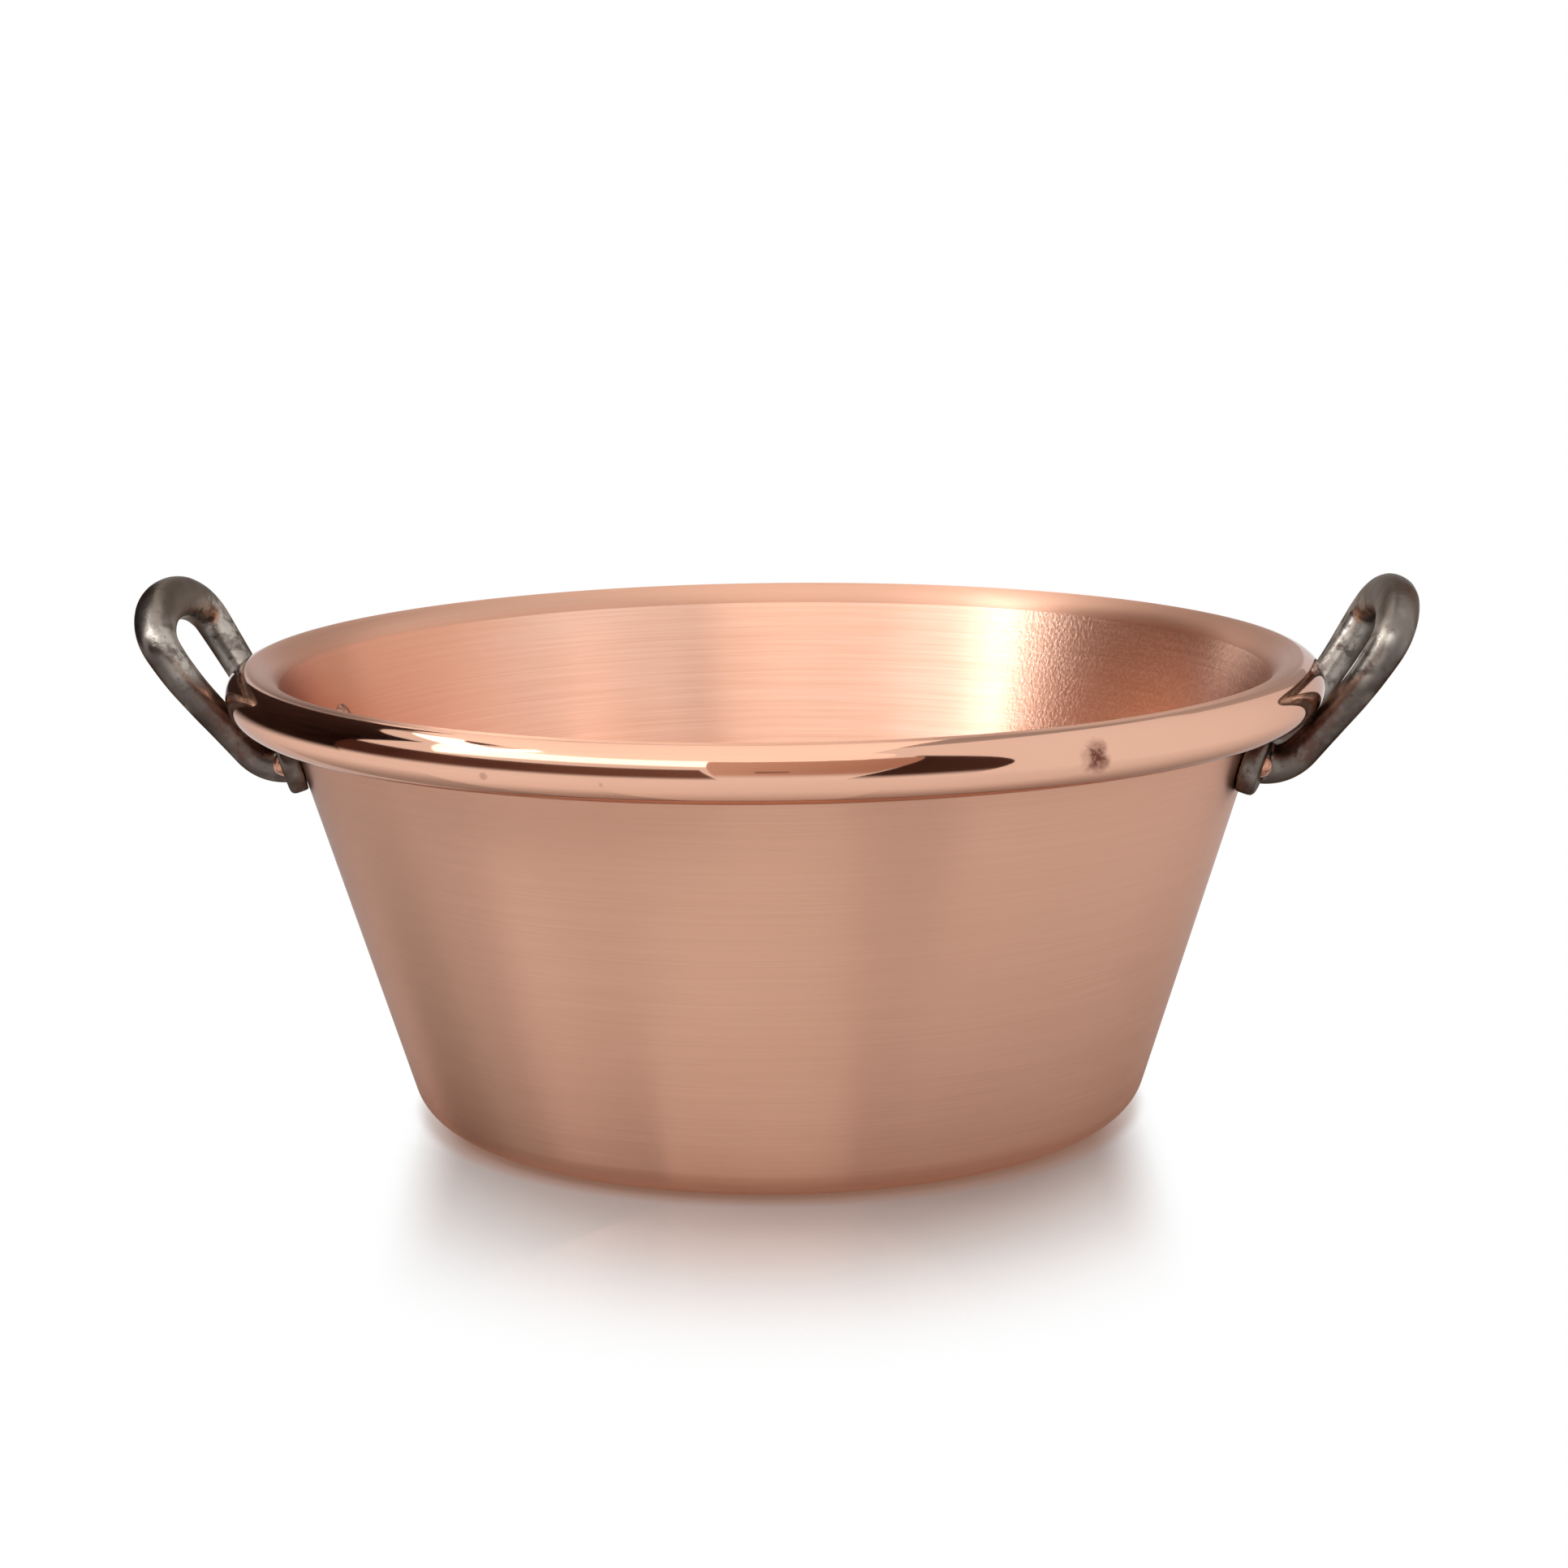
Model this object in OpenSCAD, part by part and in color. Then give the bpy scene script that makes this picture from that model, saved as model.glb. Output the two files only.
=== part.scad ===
// Jam pan: one spun copper sheet with a hollow rolled rim, and two cast loop
// handles riveted to its wall under the roll. The origin is the middle of the
// base, on the surface the pan stands on, and +X points at the right handle.

/* [Pan] */
// Outside diameter over the rolled rim
rim_d = 400; // [370:1:430]
// Height from the table to the top of the rolled rim
pan_h = 169; // [155:1:185]
// Lean of the wall outwards from upright, in degrees
wall_lean = 17.2; // [14:0.1:20]
// Thickness of the copper sheet
sheet_t = 1.5; // [1:0.1:2]
// Outside radius of the bend between base and wall
base_bend_r = 17; // [12:0.5:22]

/* [Rolled rim] */
// Outside diameter of the hollow roll
roll_d = 19.6; // [18:0.1:21]
// Gap between the curled edge of the sheet and the wall
curl_gap = 0.6; // [0.3:0.1:1.5]

/* [Handle foot] */
// Drop of the rivets on the wall below the middle of the roll
rivet_drop = 22.8; // [22.5:0.1:27]
// Distance of each rivet from the handle's middle
rivet_offset = 41; // [39:0.5:46]
// Radius of the round ear about each rivet
ear_r = 11.6; // [11.2:0.1:12]
// Thickness of the foot outwards from the wall
foot_t = 6.9; // [6:0.1:8]
// Rounding of the foot's outer edges
foot_round = 2; // [1:0.1:2.5]
// Height of the foot's bar between the ears, along the wall
foot_bar_h = 20; // [16:0.5:21]
// How far each ear stands proud of that bar
ear_proud = 0.8; // [0.4:0.1:1.5]
// Gap between the foot and the pan's wall
seat_gap = 0.15; // [0.05:0.05:0.3]

/* [Handle loop] */
// Drop of the legs' roots on the wall below the rivets' middle
root_drop = 3.6; // [2.5:0.1:4.5]
// Half the distance between the legs where they leave the foot
root_half_w = 27; // [25:0.5:29]
// Half the distance between the legs at their widest
loop_half_w = 39.8; // [37:0.2:43]
// Radius of the bend that turns each leg up from the foot
leg_bend_r = 15; // [15:0.5:17]
// Slope of the legs above that bend, in degrees from level
leg_slope = 48.5; // [46:0.5:49]
// Length of the legs from the bend to where the arch begins
leg_len = 47.2; // [42:0.2:54]
// Radius of the gentle curve that steepens the loop towards its top
loop_curve_r = 250; // [180:5:400]
// Rise of the arch from the legs to the middle of the grip
arch_rise = 14.9; // [13:0.1:20]
// Thickness of the legs, square to the loop
leg_t = 11.4; // [10:0.2:12]
// Width of the legs, in the plane of the loop
leg_w = 13; // [11:0.2:14]
// Thickness of the grip, square to the loop
grip_t = 14.8; // [11:0.2:15]
// Width of the grip, in the plane of the loop
grip_w = 16.2; // [13:0.2:17]
// Extra thickness and width of each leg where it flows into the foot
root_flare = 3; // [1:0.2:4]

/* [Rivets] */
// Diameter of the rivet's shank
shank_d = 6; // [5:0.1:7]
// Diameter of the head on the foot
outer_head_d = 8.4; // [7.6:0.1:10]
// Height of the head on the foot
outer_head_h = 2.8; // [2:0.1:3.5]
// Diameter of the head inside the pan
inner_head_d = 12; // [10:0.1:14]
// Height of the head inside the pan
inner_head_h = 1.8; // [1.2:0.1:2.5]
// Gap round the shank in its holes
hole_gap = 0.05; // [0.03:0.01:0.1]
// Gap between the rivet's heads and what they clamp
head_gap = 0.1; // [0.05:0.05:0.2]

/* [Hidden] */
$fn = 96;
copper = [0.80, 0.55, 0.45];
iron = [0.24, 0.22, 0.21];

// Middle of the roll's ring section
roll_r = roll_d / 2;
roll_x = rim_d / 2 - roll_r;
roll_z = pan_h - roll_r;

// Unit vector squarely out of the wall, as [radius, height]
wall_out = [cos(wall_lean), -sin(wall_lean)];

// Where the wall's food side runs tangentially into the roll
tangent_pt = [roll_x, roll_z] - roll_r * wall_out;

// Centre of the bend between base and wall
bend_x = (tangent_pt * wall_out + sheet_t - base_bend_r * (1 - sin(wall_lean))) / cos(wall_lean);
bend_c = [bend_x, base_bend_r];

// Turn of the curled edge away from the wall, seen from the roll's middle
curl_open = acos((roll_r - sheet_t - curl_gap) / roll_r);

// Outer radius of the wall at a height
function wall_radius(z) = tangent_pt[0] + sheet_t / cos(wall_lean)
    + (z - tangent_pt[1]) * tan(wall_lean);

// Where the rivets' middle meets the outside of the wall
rivet_z = roll_z - rivet_drop;
rivet_x = wall_radius(rivet_z);
rivet_turn = asin(rivet_offset / rivet_x);

// Angle between neighbouring points on the section's arcs
arc_step_deg = 8;

// Section of the bar: points round an oval with flattened sides
bar_sides = 20;
bar_squareness = 2.3;
function rounded_cos(a) = sign(cos(a)) * pow(abs(cos(a)), 2 / bar_squareness);
function rounded_sin(a) = sign(sin(a)) * pow(abs(sin(a)), 2 / bar_squareness);

// The loop lies in a curved sheet. Its way up that sheet is a tight bend out
// of the foot and then a long gentle curve.
bend_turn = leg_slope + wall_lean;
bend_len = leg_bend_r * bend_turn * PI / 180;
leg_top = bend_len + leg_len;
loop_top = leg_top + arch_rise;

// Depth of the legs' roots outwards from the wall
root_depth = 3;
root_z = rivet_z - root_drop;
root_x = sqrt(pow(wall_radius(root_z) + root_depth / cos(wall_lean), 2) - pow(root_half_w, 2));
function sheet_slope(w) = w < bend_len
    ? -wall_lean + w / leg_bend_r * 180 / PI
    : leg_slope + (w - bend_len) / loop_curve_r * 180 / PI;
function arc_step(r, a, b) = r * [sin(b) - sin(a), cos(a) - cos(b)];
function sheet_point(w) = [root_x, root_z]
    + arc_step(leg_bend_r, -wall_lean, sheet_slope(min(w, bend_len - 0.001)))
    + (w > bend_len ? arc_step(loop_curve_r, leg_slope, sheet_slope(w)) : [0, 0]);

// Half the loop, as [distance from the middle, way up the sheet]. The legs
// spread a little later than half way up.
leg_rings = 16;
arch_rings = 11;
late_spread = 1.2;
function leg_spread(u) = (1 - cos(180 * pow(u, late_spread))) / 2;
function leg_station(u) = [root_half_w + (loop_half_w - root_half_w) * leg_spread(u), leg_top * u];
function arch_station(a) = [loop_half_w * cos(a), leg_top + arch_rise * sin(a)];
half_loop = concat(
    [for (i = [0 : leg_rings - 1]) leg_station(i / leg_rings)],
    [for (i = [0 : arch_rings]) arch_station(90 * i / arch_rings)]);
half_count = len(half_loop);
stations = concat(half_loop, [for (i = [half_count - 2 : -1 : 0]) [-half_loop[i][0], half_loop[i][1]]]);

// A station in space, the sheet's outward normal there, and the bar's size.
// The flare at the root ends at this share of the leg.
flare_share = 0.625;
function station_point(s) = let (p = sheet_point(s[1])) [p[0], s[0], p[1]];
function sheet_normal(s) = let (a = sheet_slope(s[1])) [sin(a), 0, -cos(a)];
function toward_grip(s) = pow(s[1] / loop_top, 3);
function near_root(s) = pow(max(0, 1 - s[1] / (leg_top * flare_share)), 2);
function half_width(s) = (leg_w + (grip_w - leg_w) * toward_grip(s) + root_flare * near_root(s)) / 2;
function half_thickness(s) = (leg_t + (grip_t - leg_t) * toward_grip(s) + root_flare * near_root(s)) / 2;
function unit(v) = v / norm(v);
function along(i) = unit(station_point(stations[min(i + 1, len(stations) - 1)])
    - station_point(stations[max(i - 1, 0)]));
function bar_ring(i) = let (s = stations[i], p = station_point(s), n = sheet_normal(s),
    w = cross(n, along(i)))
    [for (k = [0 : bar_sides - 1]) let (a = 360 * k / bar_sides)
        p + half_width(s) * rounded_cos(a) * w + half_thickness(s) * rounded_sin(a) * n];

// Points along an arc, about every arc_step_deg degrees
function arc_points(centre, r, from, to) = let (n = ceil(abs(to - from) / arc_step_deg))
    [for (i = [0 : n]) let (a = from + (to - from) * i / n) centre + r * [cos(a), sin(a)]];

// Half section of the pan: the one sheet's base, bend, wall and curl
module pan_section() {
    roll_c = [roll_x, roll_z];
    curl_start = 180 - wall_lean;
    curl_end = curl_open - 180 - wall_lean;
    polygon(concat(
        [[0, 0]],
        arc_points(bend_c, base_bend_r, -90, -wall_lean),
        arc_points(roll_c, roll_r - sheet_t, curl_start, curl_end),
        arc_points(roll_c, roll_r, curl_end, curl_start),
        arc_points(bend_c, base_bend_r - sheet_t, -wall_lean, -90),
        [[0, sheet_t]]));
}

// Everything inside the wall's outer face, widened by a gap
module wall_inside(gap) {
    reach = 4 * ear_r;
    low = root_z - reach;
    high = root_z + reach;
    rotate_extrude()
        polygon([[0, low], [wall_radius(low) + gap, low], [wall_radius(high) + gap, high], [0, high]]);
}

// Placement on a rivet's axis: z points squarely out of the wall from its outer face
module on_rivet(side) {
    rotate([0, 0, side * rivet_turn])
        translate([rivet_x, 0, rivet_z])
            rotate([0, 90 + wall_lean, 0])
                children();
}

// Oblong section with a corner at the origin, and round corners at its far side
module rounded_strip(depth, height, r) {
    square([depth - r, height]);
    translate([0, r]) square([depth, height - 2 * r]);
    for (y = [r, height - r]) translate([depth - r, y]) circle(r = r);
}

// Round-edged disc of the foot about a rivet, a little proud of the bar
module foot_ear() {
    inset = 1.5 * sheet_t;
    translate([0, 0, -inset])
        rotate_extrude() {
            square([ear_r, foot_t + inset - foot_round]);
            square([ear_r - foot_round, foot_t + inset]);
            translate([ear_r - foot_round, foot_t + inset - foot_round]) circle(r = foot_round);
        }
}

// Bar of the foot between the ears, bent round the wall
module foot_bar() {
    rotate([0, 0, -rivet_turn])
        rotate_extrude(angle = 2 * rivet_turn)
            translate([rivet_x, rivet_z])
                rotate(-wall_lean)
                    translate([-sheet_t, -foot_bar_h / 2])
                        rounded_strip(foot_t - ear_proud + sheet_t, foot_bar_h, foot_round);
}

// Loop of bar stock from one root in the foot to the other
module loop_bar() {
    rings = len(stations);
    points = [for (i = [0 : rings - 1]) each bar_ring(i)];
    sides = [for (i = [0 : rings - 2]) for (k = [0 : bar_sides - 1]) let (
        a = i * bar_sides + k, b = i * bar_sides + (k + 1) % bar_sides)
        each [[a, b + bar_sides, b], [a, a + bar_sides, b + bar_sides]]];
    first_end = [for (k = [0 : bar_sides - 1]) k];
    last_end = [for (k = [bar_sides - 1 : -1 : 0]) (rings - 1) * bar_sides + k];
    polyhedron(points = points, faces = concat(sides, [first_end, last_end]), convexity = 6);
}

// One casting: foot and loop, drilled for its two rivets
module handle() {
    color(iron)
        difference() {
            union() {
                foot_bar();
                for (side = [-1, 1]) on_rivet(side) foot_ear();
                loop_bar();
            }
            wall_inside(seat_gap);
            for (side = [-1, 1]) on_rivet(side)
                translate([0, 0, -foot_t]) cylinder(d = shank_d + 2 * hole_gap, h = 3 * foot_t);
        }
}

// Low dome of a rivet's head, standing on z = 0
module head_dome(d, h) {
    ball_r = (d * d / 4 + h * h) / (2 * h);
    intersection() {
        translate([0, 0, h - ball_r]) sphere(r = ball_r);
        cylinder(d = d, h = h);
    }
}

// One copper rivet: head on the foot, head inside the pan, and a shank that
// runs a little way into both
module rivet(side) {
    outer_seat = foot_t + head_gap;
    wall_sag = pow(inner_head_d / 2, 2) / (2 * (rivet_x - sheet_t));
    inner_seat = -sheet_t - wall_sag - head_gap;
    shank_start = inner_seat - inner_head_h / 4;
    shank_end = outer_seat + outer_head_h / 4;
    color(copper)
        on_rivet(side) {
            translate([0, 0, shank_start]) cylinder(d = shank_d, h = shank_end - shank_start);
            translate([0, 0, outer_seat]) head_dome(outer_head_d, outer_head_h);
            translate([0, 0, inner_seat]) mirror([0, 0, 1]) head_dome(inner_head_d, inner_head_h);
        }
}

module pan_body() {
    color(copper)
        difference() {
            rotate_extrude() pan_section();
            for (turn = [0, 180], side = [-1, 1])
                rotate([0, 0, turn])
                    on_rivet(side)
                        translate([0, 0, -3 * sheet_t])
                            cylinder(d = shank_d + 2 * hole_gap, h = 5 * sheet_t);
        }
}

module right_handle() { handle(); }
module left_handle() { rotate([0, 0, 180]) handle(); }
module right_front_rivet() { rivet(-1); }
module right_rear_rivet() { rivet(1); }
module left_front_rivet() { rotate([0, 0, 180]) rivet(1); }
module left_rear_rivet() { rotate([0, 0, 180]) rivet(-1); }

pan_body();
left_handle();
right_handle();
left_front_rivet();
left_rear_rivet();
right_front_rivet();
right_rear_rivet();
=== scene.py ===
"""Looks of a copper jam pan: one spun sheet, two iron loop handles and four rivets."""

import logging
import math
from dataclasses import dataclass, field
from enum import Enum
from typing import ClassVar, TypeAlias

import bmesh
import bpy
from bpy.types import ID, Material, Mesh, NodeSocket, Object, World
from mathutils import Matrix, Vector, noise


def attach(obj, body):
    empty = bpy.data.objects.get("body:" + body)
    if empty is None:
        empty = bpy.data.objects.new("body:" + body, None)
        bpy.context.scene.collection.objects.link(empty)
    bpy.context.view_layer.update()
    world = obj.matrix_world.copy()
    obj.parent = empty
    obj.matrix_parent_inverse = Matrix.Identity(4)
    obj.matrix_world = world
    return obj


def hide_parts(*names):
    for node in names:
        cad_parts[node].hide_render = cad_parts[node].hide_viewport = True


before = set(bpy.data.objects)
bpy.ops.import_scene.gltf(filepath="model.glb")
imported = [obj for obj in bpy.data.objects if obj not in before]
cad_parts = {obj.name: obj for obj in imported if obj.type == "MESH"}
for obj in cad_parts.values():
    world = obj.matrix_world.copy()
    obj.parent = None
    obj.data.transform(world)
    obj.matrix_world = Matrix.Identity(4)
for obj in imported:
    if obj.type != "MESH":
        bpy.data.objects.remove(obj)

Pair: TypeAlias = tuple[float, float]
Triple: TypeAlias = tuple[float, float, float]
Value: TypeAlias = "Expr | float"
Colour: TypeAlias = "Expr | Triple"

LOG = logging.getLogger("jam_pan")
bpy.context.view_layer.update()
BODY = "root"
WHITE: Triple = (1.0, 1.0, 1.0)
# Faces that meet at more than this angle keep a sharp edge.
SHARP_ANGLE = math.radians(40)
# Largest step round a casting's rounded edges, in degrees.
EDGE_STEP = 15
# Least distance from the pan's axis that the brush marks are worked out with, in metres.
AXIS_CLEAR = 0.001


def between(start: float, end: float, share: float) -> float:
    """The value at a share of the way from one to the other."""
    return start + (end - start) * share


def put(name: str, data: ID) -> Object:
    """Puts an object in the scene.

    Args:
        name: its name.
        data: its mesh, lamp or camera.

    Returns:
        The object.
    """
    made = bpy.data.objects.new(name, data)
    bpy.context.scene.collection.objects.link(made)
    return made


class Expr:
    """A shader value that plain arithmetic can be written with."""

    def __init__(self, shader: "Shader", socket: NodeSocket) -> None:
        """Keeps the socket and the shader that new nodes go into."""
        self.shader = shader
        self.socket = socket

    def _math(self, operation: str, *values: Value) -> "Expr":
        """The result of one Math node on some values."""
        return self.shader.node("ShaderNodeMath", {"operation": operation}, dict(enumerate(values)))

    def __add__(self, other: Value) -> "Expr":
        """Sum."""
        return self._math("ADD", self, other)

    def __sub__(self, other: Value) -> "Expr":
        """Difference."""
        return self._math("SUBTRACT", self, other)

    def __rsub__(self, other: float) -> "Expr":
        """Difference with a number on the left."""
        return self._math("SUBTRACT", other, self)

    def __mul__(self, other: Value) -> "Expr":
        """Product."""
        return self._math("MULTIPLY", self, other)

    def __truediv__(self, other: Value) -> "Expr":
        """Quotient."""
        return self._math("DIVIDE", self, other)

    def __rtruediv__(self, other: float) -> "Expr":
        """Quotient with a number on the left."""
        return self._math("DIVIDE", other, self)

    def __pow__(self, power: float) -> "Expr":
        """Power."""
        return self._math("POWER", self, power)

    __radd__ = __add__
    __rmul__ = __mul__

    def root(self) -> "Expr":
        """Square root."""
        return self._math("SQRT", self)

    def size(self) -> "Expr":
        """Value without its sign."""
        return self._math("ABSOLUTE", self)

    def greater(self, other: Value) -> "Expr":
        """The larger of two values."""
        return self._math("MAXIMUM", self, other)

    def held(self) -> "Expr":
        """Value held between 0 and 1."""
        settings = {"operation": "ADD", "use_clamp": True}
        return self.shader.node("ShaderNodeMath", settings, {0: self, 1: 0.0})

    def ease(self, start: float, end: float) -> "Expr":
        """Rises smoothly from 0 at start to 1 at end.

        Args:
            start: value at which the result is 0.
            end: value at which it is 1, which may be below start.

        Returns:
            The eased value.
        """
        if end < start:
            return 1.0 - self.ease(end, start)
        settings = {"interpolation_type": "SMOOTHSTEP"}
        return self.shader.node("ShaderNodeMapRange", settings, {"Value": self, 1: start, 2: end})


@dataclass(frozen=True)
class Grain:
    """A smooth noise: cycles for each unit of place, octaves that are added, and how strong they are."""

    pitch: float
    detail: float = 2.0
    rough: float = 0.5


class Shader:
    """The node tree of a material or of the world, written through expressions."""

    def __init__(self, owner: Material | World) -> None:
        """Empties a tree and gives it an output node.

        Args:
            owner: what the tree belongs to.
        """
        owner.use_nodes = True
        self.owner = owner
        self.tree = owner.node_tree
        self.tree.nodes.clear()
        kind = "Material" if isinstance(owner, Material) else "World"
        self.output = self.tree.nodes.new("ShaderNodeOutput" + kind)

    @classmethod
    def of_material(cls, name: str) -> "Shader":
        """The shader of a new material."""
        return cls(bpy.data.materials.new(name))

    def node(self, kind: str, settings: dict[str, object], inputs: dict[object, object],
             result: int | str = 0) -> Expr:
        """Adds one node of any type.

        Args:
            kind: Blender's name of the node's type.
            settings: the node's own settings, which are set before its sockets.
            inputs: value or link of each socket, by its name or number.
            result: the output that is wanted.

        Returns:
            That output as an expression.
        """
        made = self.tree.nodes.new(kind)
        for key, value in settings.items():
            setattr(made, key, value)
        for key, value in inputs.items():
            if isinstance(value, Expr):
                self.tree.links.new(value.socket, made.inputs[key])
            else:
                made.inputs[key].default_value = value
        return Expr(self, made.outputs[result])

    def place(self, kind: str = "Object") -> Expr:
        """Place on the object: in metres for Object, and in shares for Generated and UV."""
        return self.node("ShaderNodeTexCoord", {}, {}, kind)

    def parts(self, vector: Expr) -> tuple[Expr, ...]:
        """The three numbers of a vector."""
        outputs = self.node("ShaderNodeSeparateXYZ", {}, {0: vector}).socket.node.outputs
        return tuple(Expr(self, output) for output in outputs)

    def vector(self, x: Value, y: Value, z: Value) -> Expr:
        """A vector from three numbers."""
        return self.node("ShaderNodeCombineXYZ", {}, {0: x, 1: y, 2: z})

    def noise(self, place: Expr, grain: Grain) -> Expr:
        """Smooth noise from 0 to 1."""
        inputs = {"Vector": place, "Scale": grain.pitch, "Detail": grain.detail, "Roughness": grain.rough}
        return self.node("ShaderNodeTexNoise", {}, inputs)

    def distance(self, place: Expr, point: Triple) -> Expr:
        """Distance from a point, in metres."""
        settings = {"operation": "DISTANCE"}
        return self.node("ShaderNodeVectorMath", settings, {0: place, 1: point}, "Value")

    @staticmethod
    def filled(colour: Colour) -> Expr | tuple[float, ...]:
        """A colour as a socket takes it, where plain numbers get an alpha of 1."""
        return colour if isinstance(colour, Expr) else (*colour, 1.0)

    def blend(self, factor: Value, first: Colour, second: Colour) -> Expr:
        """Mixture of two colours, where a factor of 1 gives the second."""
        inputs = {0: factor, 6: self.filled(first), 7: self.filled(second)}
        return self.node("ShaderNodeMix", {"data_type": "RGBA"}, inputs, 2)

    def ray(self, kind: str) -> Expr:
        """1 for rays of a kind, such as Is Camera Ray, and 0 for others."""
        return self.node("ShaderNodeLightPath", {}, {}, kind)

    def glow(self, colour: Colour) -> Expr:
        """A surface that shows a colour as it is, without any light."""
        return self.node("ShaderNodeEmission", {}, {"Color": self.filled(colour)})

    def clear(self) -> Expr:
        """A surface that isn't seen."""
        return self.node("ShaderNodeBsdfTransparent", {}, {})

    def mixed(self, factor: Value, first: Expr, second: Expr) -> Expr:
        """Mixture of two surfaces, where a factor of 1 gives the second."""
        return self.node("ShaderNodeMixShader", {}, {0: factor, 1: first, 2: second})

    def close(self, surface: Expr) -> Material | World:
        """Links the surface to the output and gives the finished owner of the tree."""
        self.tree.links.new(surface.socket, self.output.inputs["Surface"])
        return self.owner

    def close_metal(self, colour: Expr, rough: Expr, relief: Expr, depth: float,
                    others: dict[str, object]) -> Material:
        """Finishes the tree as a metal's.

        Args:
            colour: the metal's colour, seen squarely.
            rough: its roughness.
            relief: its height.
            depth: what a height of 1 stands for, in metres.
            others: any other inputs of the surface.

        Returns:
            The material.
        """
        normal = self.node("ShaderNodeBump", {}, {"Height": relief, "Distance": depth})
        inputs = {"Base Color": colour, "Metallic": 1.0, "Roughness": rough, "Normal": normal}
        return self.close(self.node("ShaderNodeBsdfPrincipled", {}, {**inputs, **others}))


@dataclass(frozen=True)
class SpunSheet:
    """Sizes of the pan's one sheet, in metres and degrees, and what follows from them."""

    rim_d: float = 0.400
    pan_h: float = 0.169
    lean: float = 17.2
    sheet_t: float = 0.0015
    bend_r: float = 0.017
    roll_d: float = 0.0196
    curl_gap: float = 0.0006

    @property
    def roll_r(self) -> float:
        """Radius of the roll's ring section."""
        return self.roll_d / 2

    @property
    def roll_x(self) -> float:
        """Distance of the roll's middle from the axis."""
        return self.rim_d / 2 - self.roll_r

    @property
    def roll_z(self) -> float:
        """Height of the roll's middle."""
        return self.pan_h - self.roll_r

    @property
    def out(self) -> Pair:
        """Direction squarely out of the wall, as radius and height."""
        lean = math.radians(self.lean)
        return math.cos(lean), -math.sin(lean)

    @property
    def tangent_point(self) -> Pair:
        """Where the wall's food side runs into the roll."""
        return self.roll_x - self.roll_r * self.out[0], self.roll_z - self.roll_r * self.out[1]

    @property
    def bend_x(self) -> float:
        """Radius of the base's flat, where the bend begins."""
        along = self.tangent_point[0] * self.out[0] + self.tangent_point[1] * self.out[1]
        level = self.bend_r * (1 + self.out[1])
        return (along + self.sheet_t - level) / self.out[0]

    @property
    def curl_open(self) -> float:
        """Turn of the curled edge away from the wall, in degrees."""
        return math.degrees(math.acos((self.roll_r - self.sheet_t - self.curl_gap) / self.roll_r))

    @property
    def seam(self) -> Pair:
        """Radius and height of the crease where the curled edge comes back to the wall."""
        angle = math.radians(self.curl_open - 180 - self.lean)
        return self.roll_x + self.roll_r * math.cos(angle), self.roll_z + self.roll_r * math.sin(angle)

    def wall_radius(self, height: float) -> float:
        """Outside radius of the wall at a height."""
        rise = (height - self.tangent_point[1]) * math.tan(math.radians(self.lean))
        return self.tangent_point[0] + self.sheet_t / self.out[0] + rise

    def wall_gap(self, point: Vector) -> float:
        """Distance of a point from the wall's outer face, squarely out of it."""
        return (math.hypot(point.x, point.y) - self.wall_radius(point.z)) * self.out[0]


@dataclass(frozen=True)
class FootSize:
    """Sizes of a handle's foot, in metres."""

    rivet_drop: float = 0.0228
    rivet_offset: float = 0.041
    ear_r: float = 0.0116
    thick: float = 0.0069
    edge_r: float = 0.002
    bar_h: float = 0.020
    ear_proud: float = 0.0008
    seat_gap: float = 0.00015


@dataclass(frozen=True)
class LoopSize:
    """Sizes of a handle's loop, in metres and degrees."""

    root_drop: float = 0.0036
    root_depth: float = 0.003
    root_half_w: float = 0.027
    half_w: float = 0.0398
    bend_r: float = 0.015
    slope: float = 48.5
    leg_len: float = 0.0472
    curve_r: float = 0.250
    arch_rise: float = 0.0149
    leg_t: float = 0.0114
    leg_w: float = 0.013
    grip_t: float = 0.0148
    grip_w: float = 0.0162
    flare: float = 0.003
    flare_speed: float = 1.6
    late_spread: float = 1.2
    late_grip: int = 3
    squareness: float = 2.3


@dataclass(frozen=True)
class RivetSize:
    """Sizes of a rivet, in metres."""

    shank_d: float = 0.006
    outer_d: float = 0.0084
    outer_h: float = 0.0028
    inner_d: float = 0.012
    inner_h: float = 0.0018
    head_gap: float = 0.0001


class Side(Enum):
    """Side of the pan that a handle is on, as the turn from the right one in degrees."""

    RIGHT = 0.0
    LEFT = 180.0

    @property
    def matrix(self) -> Matrix:
        """The turn from the right side to this one."""
        return Matrix.Rotation(math.radians(self.value), 4, "Z")


class Region(Enum):
    """Part of the sheet's section, as the number of its material slot."""

    OUTSIDE = 0
    INSIDE = 1


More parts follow.
